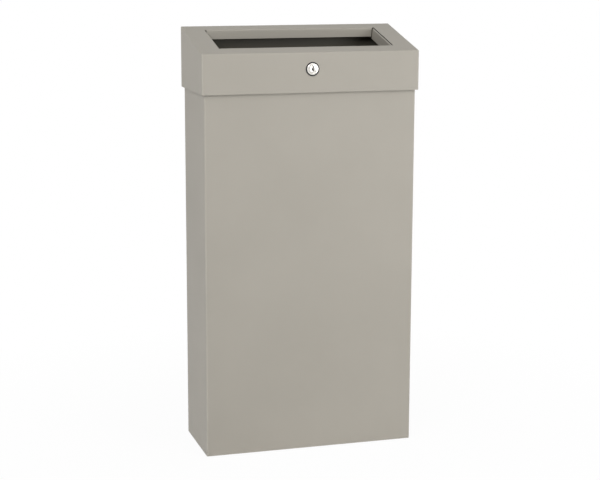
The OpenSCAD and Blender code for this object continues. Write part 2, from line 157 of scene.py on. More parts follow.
def joinInto(bm, other, place=Matrix.Identity(4)):
    # adds another bmesh to this one
    mesh = bpy.data.meshes.new("joining")
    bmesh.ops.transform(other, matrix=place, verts=other.verts)
    other.to_mesh(mesh)
    other.free()
    bm.from_mesh(mesh)
    bpy.data.meshes.remove(mesh)


# Materials

# Polyester powder coat, sprayed on dry and baked: an even satin film in warm grey with the low
# ripple of powder that has flowed, which breaks up the edge of every reflection. Light and shade
# are painted over it: a painted highlight over the upright folds and on the lip behind the
# mouth, and painted shade on the inner faces of the two deep boxes and as a dark line in the
# crevice between the top's cut edge and each end cheek
powderCoat = {
    "thin": "#ada89e",
    "full": "#b0aba1",
    "cloud": 140,              # across one cloud of thicker film
    "cloudEdges": (0.35, 0.65),
    "ripple": 2.6,             # the real 1 mm ripple, drawn coarser so that it shows
    "rippleHeight": 0.03,
    "rippleBump": 0.8,
    "grain": 0.35,             # powder grains that did not flow
    "roughness": (0.46, 0.56),
    "ior": 1.5,
    "specular": 0.25,          # the matting agent in the powder keeps the surface from mirroring
    # painted highlight over the upright folds
    "foldHighlight": "#b6b1a7",
    # painted shade in the crevice between the top's cut edge and each end cheek
    "seamShade": "#4a4843",
    # painted highlight on the lip behind the mouth
    "lipHighlight": "#c0bbb0",
    # painted shade on the inner faces of the two deep boxes
    "insideShade": "#5f5c52",
}

# The two boxes of sheet. Sides, front and rear say how far inside the box's outside the painted
# shade on its inner faces starts, and band how far that reaches inwards. Rise is the slope of its
# top in degrees, below how far under the top the painted shade ends, and fold the width of an
# upright fold, over which a highlight is painted
bodyBox = {"outside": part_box("body_shell"), "sides": 0.95, "front": 0.95, "rear": 1.6,
           "band": 3.0, "rise": 0, "below": 1.5, "fold": 2.0}
hoodBox = {"outside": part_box("hood_shell"), "sides": 1.15, "front": 1.15, "rear": 1.15,
           "band": 1.6, "rise": 13, "below": 1.06, "fold": 2.0}

# Two zones at the mouth, placed from the right end cheek and mirrored to the left: a dark line of
# painted shade along the seam and a painted highlight on the lip. The seam is the last of the
# cheek's fold with the top's cut edge: from and to lie outwards of the cheek's face, front and
# rear inside its ends. The lip behind the mouth ends beside that face, and its zone reaches
# behind the cheek
seamPlace = {"from": 1.35, "to": 2.1, "front": 1.96, "rear": 3.18}
lipPlace = {"beside": 0.9, "behind": 0.32, "deep": 5.0}
cheekLow, cheekHigh = (1000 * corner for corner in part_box("end_cheek_right"))
seamZone = {"x": (cheekLow.x + seamPlace["from"], cheekLow.x + seamPlace["to"]),
            "y": (cheekLow.y + seamPlace["front"], cheekHigh.y - seamPlace["rear"]),
            "above": cheekLow.z}
lipRear = cheekHigh.y + lipPlace["behind"]
lipZone = {"x": (0, cheekLow.x - lipPlace["beside"]), "y": (lipRear - lipPlace["deep"], lipRear),
           "above": cheekLow.z}


def combine(tree, operation, first, second):
    return addNode(tree, "ShaderNodeMath", {"operation": operation},
                   links={0: first, 1: second}).outputs[0]


def between(tree, value, low, high):
    # 1 where a value in metres lies between two limits in millimetres
    return addNode(tree, "ShaderNodeMath", {"operation": "COMPARE"},
                   inputs={1: (low + high) / 2000, 2: (high - low) / 2000},
                   links={0: value}).outputs[0]


def underTop(tree, axes, box):
    # 1 below the plane that lies under the box's top and rises with it
    high = 1000 * box["outside"][1]
    slope = tan(radians(box["rise"]))
    overMiddle = high.z - slope * high.y - box["below"]
    plane = addNode(tree, "ShaderNodeMath", {"operation": "MULTIPLY_ADD"},
                    inputs={1: slope, 2: overMiddle / 1000}, links={0: axes.outputs["Y"]})
    return combine(tree, "LESS_THAN", axes.outputs["Z"], plane.outputs[0])


def innerFaces(tree, axes, box):
    # 1 on the inner faces of the upright walls, where the painted shade goes, 0 elsewhere
    low, high = (1000 * corner for corner in box["outside"])

    def core(inset):
        wide = between(tree, axes.outputs["X"], low.x + box["sides"] + inset,
                       high.x - box["sides"] - inset)
        deep = between(tree, axes.outputs["Y"], low.y + box["front"] + inset,
                       high.y - box["rear"] - inset)
        return combine(tree, "MULTIPLY", wide, deep)

    band = combine(tree, "SUBTRACT", core(0), core(box["band"]))
    return combine(tree, "MULTIPLY", band, underTop(tree, axes, box))


def uprightFolds(tree, axes, box):
    # 1 over the four upright folds, where the painted highlight goes
    high = 1000 * box["outside"][1]
    foldX, foldY = high.x - box["fold"], high.y - box["fold"]
    flat = combine(tree, "MAXIMUM", between(tree, axes.outputs["X"], -foldX, foldX),
                   between(tree, axes.outputs["Y"], -foldY, foldY))
    return addNode(tree, "ShaderNodeMath", {"operation": "SUBTRACT"}, inputs={0: 1.0},
                   links={1: flat}).outputs[0]


def mouthZone(tree, axes, zone):
    # 1 inside a zone at the mouth, to the left and to the right; used for the seam's painted shade
    # and for the lip's painted highlight
    across = addNode(tree, "ShaderNodeMath", {"operation": "ABSOLUTE"},
                     links={0: axes.outputs["X"]})
    above = addNode(tree, "ShaderNodeMath", {"operation": "GREATER_THAN"},
                    inputs={1: zone["above"] / 1000}, links={0: axes.outputs["Z"]})
    flat = combine(tree, "MULTIPLY", between(tree, across.outputs[0], *zone["x"]),
                   between(tree, axes.outputs["Y"], *zone["y"]))
    return combine(tree, "MULTIPLY", flat, above.outputs[0])


def makePowderCoat(name, coat, box):
    material, tree = newMaterial(name)
    where = addNode(tree, "ShaderNodeTexCoord")
    axes = addNode(tree, "ShaderNodeSeparateXYZ", links={"Vector": where.outputs["Object"]})
    cloud = addNode(tree, "ShaderNodeTexNoise",
                    inputs={"Scale": 1000 / coat["cloud"], "Detail": 3.0},
                    links={"Vector": where.outputs["Object"]})
    film = addNode(tree, "ShaderNodeValToRGB", links={"Fac": cloud.outputs["Fac"]})
    film.color_ramp.elements[0].position = coat["cloudEdges"][0]
    film.color_ramp.elements[0].color = linearColour(coat["thin"])
    film.color_ramp.elements[1].position = coat["cloudEdges"][1]
    film.color_ramp.elements[1].color = linearColour(coat["full"])
    # the lip behind the mouth, under the top, gets a painted highlight
    lip = combine(tree, "MULTIPLY", mouthZone(tree, axes, lipZone), underTop(tree, axes, box))
    colour = film.outputs["Color"]
    # painted light over the film: highlights on the folds and the lip, shade in the seam and on the
    # inner faces
    for tint, zone in (("foldHighlight", uprightFolds(tree, axes, box)),
                       ("seamShade", mouthZone(tree, axes, seamZone)),
                       ("lipHighlight", lip),
                       ("insideShade", innerFaces(tree, axes, box))):
        colour = addNode(tree, "ShaderNodeMix", {"data_type": "RGBA"},
                         inputs={7: linearColour(coat[tint])},
                         links={0: zone, 6: colour}).outputs[2]
    ripple = addNode(tree, "ShaderNodeTexNoise",
                     inputs={"Scale": 1000 / coat["ripple"], "Detail": 1.0},
                     links={"Vector": where.outputs["Object"]})
    grain = addNode(tree, "ShaderNodeTexNoise",
                    inputs={"Scale": 1000 / coat["grain"], "Detail": 2.0},
                    links={"Vector": where.outputs["Object"]})
    gloss = addNode(tree, "ShaderNodeMapRange",
                    inputs={"From Min": noiseSpan[0], "From Max": noiseSpan[1],
                            "To Min": coat["roughness"][0], "To Max": coat["roughness"][1]},
                    links={"Value": grain.outputs["Fac"]})
    bump = addNode(tree, "ShaderNodeBump",
                   inputs={"Strength": coat["rippleBump"], "Distance": coat["rippleHeight"] / 1000},
                   links={"Height": ripple.outputs["Fac"]})
    shader = addNode(tree, "ShaderNodeBsdfPrincipled",
                     inputs={"IOR": coat["ior"], "Specular IOR Level": coat["specular"]},
                     links={"Base Color": colour, "Roughness": gloss.outputs["Result"],
                            "Normal": bump.outputs["Normal"]})
    addNode(tree, "ShaderNodeOutputMaterial", links={"Surface": shader.outputs["BSDF"]})
    return material


# Bright zinc plate, electroplated and blue passivated: grey metal with cool and straw patches
# and a fine etched grain
zincPlate = {
    "cool": "#b4babf",
    "straw": "#c5c2b4",
    "patch": 7,
    "patchEdges": (0.4, 0.7),
    "grain": 0.5,
    "grainHeight": 0.01,
    "grainBump": 0.5,
    "roughness": (0.28, 0.44),
}


def makeZincPlate(name, plate):
    material, tree = newMaterial(name)
    where = addNode(tree, "ShaderNodeTexCoord")
    patch = addNode(tree, "ShaderNodeTexNoise",
                    inputs={"Scale": 1000 / plate["patch"], "Detail": 4.0},
                    links={"Vector": where.outputs["Object"]})
    tint = addNode(tree, "ShaderNodeValToRGB", links={"Fac": patch.outputs["Fac"]})
    tint.color_ramp.elements[0].position = plate["patchEdges"][0]
    tint.color_ramp.elements[0].color = linearColour(plate["cool"])
    tint.color_ramp.elements[1].position = plate["patchEdges"][1]
    tint.color_ramp.elements[1].color = linearColour(plate["straw"])
    grain = addNode(tree, "ShaderNodeTexNoise",
                    inputs={"Scale": 1000 / plate["grain"], "Detail": 3.0},
                    links={"Vector": where.outputs["Object"]})
    etch = addNode(tree, "ShaderNodeMapRange",
                   inputs={"From Min": noiseSpan[0], "From Max": noiseSpan[1],
                           "To Min": plate["roughness"][0], "To Max": plate["roughness"][1]},
                   links={"Value": grain.outputs["Fac"]})
    bump = addNode(tree, "ShaderNodeBump",
                   inputs={"Strength": plate["grainBump"], "Distance": plate["grainHeight"] / 1000},
                   links={"Height": grain.outputs["Fac"]})
    shader = addNode(tree, "ShaderNodeBsdfPrincipled", inputs={"Metallic": 1.0},
                     links={"Base Color": tint.outputs["Color"],
                            "Roughness": etch.outputs["Result"],
                            "Normal": bump.outputs["Normal"]})
    addNode(tree, "ShaderNodeOutputMaterial", links={"Surface": shader.outputs["BSDF"]})
    return material


# Bright drawn steel, pulled through a die: mirror-like across, with die lines that run along
# the rod and follow it round the corners
drawnSteel = {
    "dark": "#aeb1b3",
    "bright": "#c9cccd",
    "lineEdges": (0.35, 0.6),
    "linesRound": 26,          # die lines round the rod
    "lineHeight": 0.01,
    "lineBump": 0.4,
    "roughness": (0.2, 0.38),
}


def makeDrawnSteel(name, steel):
    # the attribute holds the unit circle round the rod, the same all along it
    material, tree = newMaterial(name)
    around = addNode(tree, "ShaderNodeAttribute", {"attribute_name": "roundTheRod"})
    lines = addNode(tree, "ShaderNodeTexNoise",
                    inputs={"Scale": steel["linesRound"] / (2 * pi), "Detail": 3.0},
                    links={"Vector": around.outputs["Vector"]})
    tint = addNode(tree, "ShaderNodeValToRGB", links={"Fac": lines.outputs["Fac"]})
    tint.color_ramp.elements[0].position = steel["lineEdges"][0]
    tint.color_ramp.elements[0].color = linearColour(steel["dark"])
    tint.color_ramp.elements[1].position = steel["lineEdges"][1]
    tint.color_ramp.elements[1].color = linearColour(steel["bright"])
    polish = addNode(tree, "ShaderNodeMapRange",
                     inputs={"From Min": noiseSpan[0], "From Max": noiseSpan[1],
                             "To Min": steel["roughness"][0], "To Max": steel["roughness"][1]},
                     links={"Value": lines.outputs["Fac"]})
    bump = addNode(tree, "ShaderNodeBump",
                   inputs={"Strength": steel["lineBump"], "Distance": steel["lineHeight"] / 1000},
                   links={"Height": lines.outputs["Fac"]})
    shader = addNode(tree, "ShaderNodeBsdfPrincipled", inputs={"Metallic": 1.0},
                     links={"Base Color": tint.outputs["Color"],
                            "Roughness": polish.outputs["Result"],
                            "Normal": bump.outputs["Normal"]})
    addNode(tree, "ShaderNodeOutputMaterial", links={"Surface": shader.outputs["BSDF"]})
    return material


# Chrome over polished die-cast zinc: a near mirror with the haze of fine buffing marks. The plate
# doesn't reach into a deep hole, so behind platedTo the dull, greased casting shows, with painted
# shade over it: near black, as the keyway's recess is dark
chromePlate = {
    "colour": "#e9e6e0",
    "haze": "#d8d5cf",
    "buffing": 1.2,
    "hazeEdges": (0.35, 0.65),
    "roughness": (0.05, 0.11),
    # the bare casting, darkened to near black as painted shade in the keyway
    "castingInShade": "#2a2826",
    "castingRoughness": 0.6,
    "platedTo": -71.75,        # Y in the bin's frame, 0.25 mm behind the plug's face
}


def makeChromePlate(name, plate, platedTo):
    material, tree = newMaterial(name)
    where = addNode(tree, "ShaderNodeTexCoord")
    marks = addNode(tree, "ShaderNodeTexNoise",
                    inputs={"Scale": 1000 / plate["buffing"], "Detail": 4.0},
                    links={"Vector": where.outputs["Object"]})
    tint = addNode(tree, "ShaderNodeValToRGB", links={"Fac": marks.outputs["Fac"]})
    tint.color_ramp.elements[0].color = linearColour(plate["haze"])
    tint.color_ramp.elements[1].color = linearColour(plate["colour"])
    haze = addNode(tree, "ShaderNodeMapRange",
                   inputs={"From Min": plate["hazeEdges"][0], "From Max": plate["hazeEdges"][1],
                           "To Min": plate["roughness"][0], "To Max": plate["roughness"][1]},
                   links={"Value": marks.outputs["Fac"]})
    axes = addNode(tree, "ShaderNodeSeparateXYZ", links={"Vector": where.outputs["Object"]})
    # behind the plug's face: the bare casting with painted shade, near black
    bareInShade = addNode(tree, "ShaderNodeMath", {"operation": "GREATER_THAN"},
                   inputs={1: platedTo / 1000}, links={0: axes.outputs["Y"]})
    colour = addNode(tree, "ShaderNodeMix", {"data_type": "RGBA"},
                     inputs={7: linearColour(plate["castingInShade"])},
                     links={0: bareInShade.outputs[0], 6: tint.outputs["Color"]})
    roughness = addNode(tree, "ShaderNodeMix", {"data_type": "FLOAT"},
                        inputs={3: plate["castingRoughness"]},
                        links={0: bareInShade.outputs[0], 2: haze.outputs["Result"]})
    shader = addNode(tree, "ShaderNodeBsdfPrincipled", inputs={"Metallic": 1.0},
                     links={"Base Color": colour.outputs[2], "Roughness": roughness.outputs[0]})
    addNode(tree, "ShaderNodeOutputMaterial", links={"Surface": shader.outputs["BSDF"]})
    return material


# Moulded black rubber: matt, a little dusty, with the fine texture of a spark-eroded mould
mouldedRubber = {
    "deep": "#1b1b1d",
    "dusty": "#2b2b2c",
    "dust": 5,
    "dustEdges": (0.4, 0.75),
    "texture": 0.4,
    "textureHeight": 0.03,
    "textureBump": 0.5,
    "roughness": (0.62, 0.82),
    "ior": 1.52,
}


def makeMouldedRubber(name, mould):
    material, tree = newMaterial(name)
    where = addNode(tree, "ShaderNodeTexCoord")
    dust = addNode(tree, "ShaderNodeTexNoise",
                   inputs={"Scale": 1000 / mould["dust"], "Detail": 3.0},
                   links={"Vector": where.outputs["Object"]})
    tint = addNode(tree, "ShaderNodeValToRGB", links={"Fac": dust.outputs["Fac"]})
    tint.color_ramp.elements[0].position = mould["dustEdges"][0]
    tint.color_ramp.elements[0].color = linearColour(mould["deep"])
    tint.color_ramp.elements[1].position = mould["dustEdges"][1]
    tint.color_ramp.elements[1].color = linearColour(mould["dusty"])
    texture = addNode(tree, "ShaderNodeTexNoise",
                      inputs={"Scale": 1000 / mould["texture"], "Detail": 2.0},
                      links={"Vector": where.outputs["Object"]})
    matt = addNode(tree, "ShaderNodeMapRange",
                   inputs={"From Min": noiseSpan[0], "From Max": noiseSpan[1],
                           "To Min": mould["roughness"][0], "To Max": mould["roughness"][1]},
                   links={"Value": texture.outputs["Fac"]})
    bump = addNode(tree, "ShaderNodeBump",
                   inputs={"Strength": mould["textureBump"],
                           "Distance": mould["textureHeight"] / 1000},
                   links={"Height": texture.outputs["Fac"]})
    shader = addNode(tree, "ShaderNodeBsdfPrincipled", inputs={"IOR": mould["ior"]},
                     links={"Base Color": tint.outputs["Color"],
                            "Roughness": matt.outputs["Result"],
                            "Normal": bump.outputs["Normal"]})
    addNode(tree, "ShaderNodeOutputMaterial", links={"Surface": shader.outputs["BSDF"]})
    return material


bodyPaint = makePowderCoat("powderCoatBody", powderCoat, bodyBox)
hoodPaint = makePowderCoat("powderCoatHood", powderCoat, hoodBox)
zinc = makeZincPlate("zincPlate", zincPlate)
rodSteel = makeDrawnSteel("drawnSteelRod", drawnSteel)
chrome = makeChromePlate("chromePlate", chromePlate, 0)   # all of the housing is plated
plugChrome = makeChromePlate("chromePlatePlug", chromePlate, chromePlate["platedTo"])
rubber = makeMouldedRubber("mouldedRubber", mouldedRubber)

finishOf = {"body_paint": bodyPaint, "hood_paint": hoodPaint, "zinc_steel": zinc,
            "bright_rod": rodSteel, "lock_chrome": chrome, "black_rubber": rubber}
for part in frame["record"]["subparts"]:
    mesh = nodes[part["node"]].data
    mesh.materials.clear()
    mesh.materials.append(finishOf[part["material_slot"]])
print("materials ready, packed parts painted")


# Camera and light

bpy.context.scene.view_settings.view_transform = "Standard"

view = {
    "place": (-0.6851, -2.3052, 0.7981),   # metres
    "yaw": 16.606,                         # degrees, turned to the right
    "pitch": 11.263,                       # degrees, looking down
    "roll": 0.186,                         # degrees
    "lens": 94.06,
    "sensor": 36.0,
}
cameraData = bpy.data.cameras.new("camera")
cameraData.lens = view["lens"]
cameraData.sensor_width = view["sensor"]
camera = bpy.data.objects.new("camera", cameraData)
bpy.context.scene.collection.objects.link(camera)
camera.matrix_world = (Matrix.Translation(view["place"])
                       @ Matrix.Rotation(radians(-view["yaw"]), 4, "Z")
                       @ Matrix.Rotation(radians(90 - view["pitch"]), 4, "X")
                       @ Matrix.Rotation(radians(view["roll"]), 4, "Z"))
bpy.context.scene.camera = camera

# square soft boxes, in metres and watts
lamps = {
    "softboxLeft": {"place": (-1.8, -2.2, 2.2), "aim": (0, 0, 0.4), "size": 1.6, "power": 48.5},
    "softboxHigh": {"place": (0.2, -1.0, 3.0), "aim": (0, 0, 0.4), "size": 1.8, "power": 22},
    "nearRight": {"place": (0.72, -1.2, 0.68), "aim": (0, 0, 0.38), "size": 0.6, "power": 6.8},
    "sideLeft": {"place": (-3.2, 0, 0.7), "aim": (0, 0, 0.35), "size": 1.6, "power": 18.5},
    "sideRight": {"place": (3.2, 0.8, 0.7), "aim": (0, 0, 0.35), "size": 1.6, "power": 20},
    "backFill": {"place": (0.8, 3.0, 0.45), "aim": (0, 0, 0.35), "size": 1.2, "power": 48},
}
for name, lamp in lamps.items():
    lampData = bpy.data.lights.new(name, "AREA")
    lampData.shape = "SQUARE"
    lampData.size = lamp["size"]
    lampData.energy = lamp["power"]
    lampObject = bpy.data.objects.new(name, lampData)
    bpy.context.scene.collection.objects.link(lampObject)
    aim = Vector(lamp["aim"]) - Vector(lamp["place"])
    turn = aim.to_track_quat("-Z", "Y").to_matrix().to_4x4()
    lampObject.matrix_world = Matrix.Translation(lamp["place"]) @ turn

# roomLight is the even light of the room; the floor's own white grows from floorNear beside the
# bin to full white where its shadow has faded, between the two distances. Lengths are metres
studio = {"roomLight": 0.03, "floorColour": "#f4f4f4", "floorSize": 16.0, "floorNear": 0.96,
          "fadeFrom": 0.22, "fadeTo": 0.75, "floorDrop": 0.0002}


def seenDirectly(tree):
    # 1 where the eye, a reflection or glass looks at the surface, and 0 for the light it gives
    rays = addNode(tree, "ShaderNodeLightPath")
    eyeOrGloss = combine(tree, "MAXIMUM", rays.outputs["Is Camera Ray"],
                         rays.outputs["Is Glossy Ray"])
    return combine(tree, "MAXIMUM", eyeOrGloss, rays.outputs["Is Transmission Ray"])


world = bpy.data.worlds.new("studio")
bpy.context.scene.world = world
world.use_nodes = True
worldTree = world.node_tree
worldTree.nodes.clear()
room = addNode(worldTree, "ShaderNodeBackground",
               inputs={"Color": (1, 1, 1, 1), "Strength": studio["roomLight"]})
white = addNode(worldTree, "ShaderNodeBackground",
                inputs={"Color": (1, 1, 1, 1), "Strength": 1.0})
backdrop = addNode(worldTree, "ShaderNodeMixShader",
                   links={0: seenDirectly(worldTree), 1: room.outputs[0], 2: white.outputs[0]})
addNode(worldTree, "ShaderNodeOutputWorld", links={"Surface": backdrop.outputs[0]})

# White floor: mostly its own white where it is looked at, and the rest takes the bin's shadow
floorMaterial, floorTree = newMaterial("floorWhite")
floorMatt = addNode(floorTree, "ShaderNodeBsdfDiffuse",
                    inputs={"Color": linearColour(studio["floorColour"])})
floorWhite = addNode(floorTree, "ShaderNodeEmission",
                     inputs={"Color": (1, 1, 1, 1), "Strength": 1.0})
floorWhere = addNode(floorTree, "ShaderNodeTexCoord")
floorAway = addNode(floorTree, "ShaderNodeVectorMath", {"operation": "LENGTH"},
                    links={0: floorWhere.outputs["Object"]})
floorFade = addNode(floorTree, "ShaderNodeMapRange",
                    inputs={"From Min": studio["fadeFrom"], "From Max": studio["fadeTo"],
                            "To Min": studio["floorNear"], "To Max": 1.0},
                    links={"Value": floorAway.outputs["Value"]})
floorShare = combine(floorTree, "MULTIPLY", seenDirectly(floorTree), floorFade.outputs["Result"])
floorMix = addNode(floorTree, "ShaderNodeMixShader",
                   links={0: floorShare, 1: floorMatt.outputs[0], 2: floorWhite.outputs[0]})
addNode(floorTree, "ShaderNodeOutputMaterial", links={"Surface": floorMix.outputs[0]})
bm = bmesh.new()
bmesh.ops.create_grid(bm, x_segments=1, y_segments=1, size=studio["floorSize"] / 2)
moveAll(bm, (0, 0, -studio["floorDrop"]))
floorMesh = bpy.data.meshes.new("floor")
bm.to_mesh(floorMesh)
bm.free()
floorMesh.materials.append(floorMaterial)
floor = bpy.data.objects.new("floor", floorMesh)
bpy.context.scene.collection.objects.link(floor)
print("camera, lamps and floor ready")


# Lock

# Its own Z points out of the hood's front, and its heights are measured from the hood's face.
# What is round is given as a radius; widths, flats, drives and the cam's hub go right across
gasketLow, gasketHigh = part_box("lock_gasket")      # metres
lockCentre = ((gasketLow.x + gasketHigh.x) / 2, gasketHigh.y, (gasketLow.z + gasketHigh.z) / 2)
lockPlace = Matrix.Translation(lockCentre) @ Matrix.Rotation(radians(90), 4, "X")

gasketSizes = {"inner": 8.1, "outer": 10.5, "thick": 0.6, "edge": 0.25}


def makeGasket(size):
    return turnProfile([(size["inner"], 0), (size["inner"], size["thick"]),
                        (size["outer"], size["thick"], size["edge"]), (size["outer"], 0)])


finishPiece("lockGasket", makeGasket(gasketSizes), lockPlace, rubber, "hood",
            ["lock_gasket"])

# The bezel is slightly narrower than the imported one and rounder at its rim, which gives it the
# real one's reflections
housingSizes = {
    "bore": 5.9, "boreChamfer": 0.25,
    "bezel": 8.8, "bezelEdge": 1.15, "front": 1.8, "seat": 0.6,
    "barrel": 8.0, "flats": 13.6, "length": 18.0,
    "pitch": 1.0, "threadDepth": 0.5, "threadStart": -1.4,
}


def makeHousing(size):
    # threaded barrel with two flats, then the bezel in front of it
    bore, front, seat = size["bore"], size["front"], size["seat"]
    root = size["barrel"] - size["threadDepth"]
    crests = []
    depth = size["threadStart"]
    while depth - size["pitch"] > -size["length"]:
        crests += [(size["barrel"], depth), (root, depth - size["pitch"] / 2)]
        depth -= size["pitch"]
    barrel = turnProfile([(bore, seat), (size["barrel"], seat)] + crests
                         + [(root, -size["length"]), (bore, -size["length"])])
    for side in (1, -1):
        bmesh.ops.bisect_plane(barrel, geom=barrel.verts[:] + barrel.edges[:] + barrel.faces[:],
                               dist=1e-4, plane_co=(side * size["flats"] / 2, 0, 0),
                               plane_no=(side, 0, 0), clear_outer=True)
        bmesh.ops.holes_fill(barrel, edges=[e for e in barrel.edges if e.is_boundary], sides=0)
    bezel = turnProfile([(bore, seat), (bore, front - size["boreChamfer"]),
                         (bore + size["boreChamfer"], front),
                         (size["bezel"], front, size["bezelEdge"]), (size["bezel"], seat)],
                        steps=96)
    joinInto(bezel, barrel)
    return bezel


finishPiece("lockHousing", makeHousing(housingSizes), lockPlace, chrome, "hood",
            ["lock_housing"])

nutSizes = {"flats": 20.0, "bore": 8.1, "thick": 4.0, "face": -1.2, "chamfer": 0.5}


def makeNut(size):
    bm = bmesh.new()
    bmesh.ops.create_circle(bm, cap_ends=False, segments=6,
                            radius=size["flats"] / 2 / cos(radians(30)))
    bmesh.ops.create_circle(bm, cap_ends=False, segments=48, radius=size["bore"])
    cutPlate(bm, size["thick"])
    softenEdges(bm, size["chamfer"], above=40, segments=1)
    moveAll(bm, (0, 0, size["face"] - size["thick"]))
    return bm


finishPiece("lockNut", makeNut(nutSizes), lockPlace, zinc, "hood", ["lock_nut"])

# The keyhole is a straight slot over a round end and drawn wider than the real one, so that it
# stays dark from where the whole bin is seen. Neck and shoulder lie above the round end's centre
plugSizes = {
    "radius": 5.8, "front": 1.5, "edge": 0.125, "length": 18.0,
    "drive": 6.0, "driveBack": 20.2, "driveEdge": 0.2,
    "keyDepth": 8.0, "slotTop": 4.5, "slotWidth": 2.2, "slotRound": 0.3, "neck": 1.312,
    "shoulder": 0.55, "shoulderRound": 0.2, "roundWidth": 3.2, "roundCentre": -1.32,
    "endRound": 1.2,
}


def makePlug(size):
    bm = bmesh.new()
    bmesh.ops.create_circle(bm, cap_ends=False, segments=96, radius=size["radius"])
    half, wide, low = size["slotWidth"] / 2, size["roundWidth"] / 2, size["roundCentre"]
    leftSide = [(-half, size["slotTop"], size["slotRound"]), (-half, low + size["neck"]),
                (-wide, low + size["shoulder"], size["shoulderRound"]),
                (-wide, low - wide, size["endRound"])]
    rightSide = [(-point[0], *point[1:]) for point in reversed(leftSide)]
    drawWire(bm, leftSide + rightSide)
    cutPlate(bm, size["keyDepth"])
    softenEdges(bm, size["edge"])
    back = size["front"] - size["keyDepth"]
    moveAll(bm, (0, 0, back))
    joinInto(bm, turnProfile([(0, back), (size["radius"], back),
                              (size["radius"], -size["length"]), (0, -size["length"])],
                             closed=False))
    drive = bmesh.new()
    driveLength = size["driveBack"] - size["length"]
    driveMiddle = Matrix.Translation((0, 0, -size["length"] - driveLength / 2))
    bmesh.ops.create_cube(drive, size=1.0, matrix=driveMiddle
                          @ Matrix.Diagonal((size["drive"], size["drive"], driveLength, 1)))
    softenEdges(drive, size["driveEdge"])
    joinInto(bm, drive)
    return bm


finishPiece("lockPlug", makePlug(plugSizes), lockPlace, plugChrome, "lock_core",
            ["lock_plug"])

# reach is from the lock's centre to the arm's tip, and the hook stands out at that tip
camSizes = {
    "back": 20.2, "thick": 2.0, "edge": 0.3, "drive": 6.2, "driveRound": 0.2,
    "hub": 12.0, "hubRound": 5.9, "hubFlank": 1.5, "shoulder": 1.0, "shoulderRound": 0.6,
    "reach": 30.0, "width": 8.0, "tipRound": 1.5,
    "hookReach": 7.0, "hookHeight": 5.0, "hookRound": 1.2, "hookRoot": 1.0,
}


def makeCam(size):
    bm = bmesh.new()
    half, hub, drive = size["width"] / 2, size["hub"] / 2, size["drive"] / 2
    shoulder = -half - size["shoulder"]
    tip = -size["reach"]
    hookEnd = -half - size["hookReach"]
    hookTop = tip + size["hookHeight"]
    drawWire(bm, [(hub, -hub, size["hubRound"]), (hub, hub, size["hubRound"]),
                  (-half, hub, size["hubFlank"]), (shoulder, half, size["shoulderRound"]),
                  (tip, half, size["tipRound"]), (tip, hookEnd, size["hookRound"]),
                  (hookTop, hookEnd, size["hookRound"]), (hookTop, -half, size["hookRoot"]),
                  (shoulder, -half, size["shoulderRound"]), (-half, -hub, size["hubFlank"])])
    drawWire(bm, [(x * drive, y * drive, size["driveRound"])
                  for x, y in ((-1, -1), (1, -1), (1, 1), (-1, 1))])
    cutPlate(bm, size["thick"])
    softenEdges(bm, size["edge"], above=50)
    moveAll(bm, (0, 0, -size["back"]))
    return bm


finishPiece("lockCam", makeCam(camSizes), lockPlace, zinc, "lock_core",
            ["lock_cam"])

washerSizes = {"hole": 2.1, "outer": 5.0, "thick": 0.8, "front": -20.2, "edge": 0.25}


def makeWasher(size):
    low = size["front"] - size["thick"]
    return turnProfile([(size["hole"], low), (size["outer"], low, size["edge"]),
                        (size["outer"], size["front"], size["edge"]),
                        (size["hole"], size["front"])], steps=48)


finishPiece("camWasher", makeWasher(washerSizes), lockPlace, zinc, "lock_core",
            ["cam_washer"])

# crossTaper is the share of the recess's outline that is left at its bottom
screwSizes = {
    "head": 4.25, "headHeight": 2.6, "headRound": 1.4, "headEdge": 0.2, "headFlat": 2.7,
    "shank": 2.0, "length": 7.0, "tipRound": 0.4, "seat": -21.0,
    "crossLong": 2.2, "crossWide": 0.55, "crossDepth": 1.5, "crossTaper": 0.7,
}


def makeCamScrew(size):
    # pan head with a cross recess in its flat, which faces into the hood
    headFace = size["seat"] - size["headHeight"]
    tip = size["seat"] + size["length"]
    bm = turnProfile([(0, tip), (size["shank"], tip, size["tipRound"]),
                      (size["shank"], size["seat"]),
                      (size["head"], size["seat"], size["headEdge"]),
                      (size["head"], headFace, size["headRound"]), (size["headFlat"], headFace)],
                     steps=48, closed=False)
    long, wide = size["crossLong"], size["crossWide"]
    quarter = [(long, wide), (wide, wide), (wide, long)]
    recess = bmesh.new()
    bmesh.ops.create_circle(recess, cap_ends=False, segments=48, radius=size["headFlat"])
    drawWire(recess, quarter + [(-x, y) for x, y in reversed(quarter)]
             + [(-x, -y) for x, y in quarter] + [(x, -y) for x, y in reversed(quarter)])
    fillWires(recess)
    rim = [e for e in recess.edges if e.is_boundary
           and all(v.co.xy.length < (long + size["headFlat"]) / 2 for v in e.verts)]
    deep = bmesh.ops.extrude_edge_only(recess, edges=rim)["geom"]
    bmesh.ops.translate(recess, vec=(0, 0, size["crossDepth"]), verts=madeVerts(deep))
    bmesh.ops.scale(recess, vec=(size["crossTaper"], size["crossTaper"], 1),
                    verts=madeVerts(deep))
    bmesh.ops.holes_fill(recess, edges=[e for e in madeEdges(deep) if e.is_boundary], sides=0)
    joinInto(bm, recess, Matrix.Translation((0, 0, headFace)))
    bmesh.ops.remove_doubles(bm, verts=bm.verts, dist=1e-3)
    bmesh.ops.recalc_face_normals(bm, faces=bm.faces)
    return bm


finishPiece("camScrew", makeCamScrew(screwSizes), lockPlace, zinc, "lock_core",
            ["cam_screw"])
print("lock modelled")


# Blind rivets: a domed head with the broken mandrel in its hole, and the swollen end behind

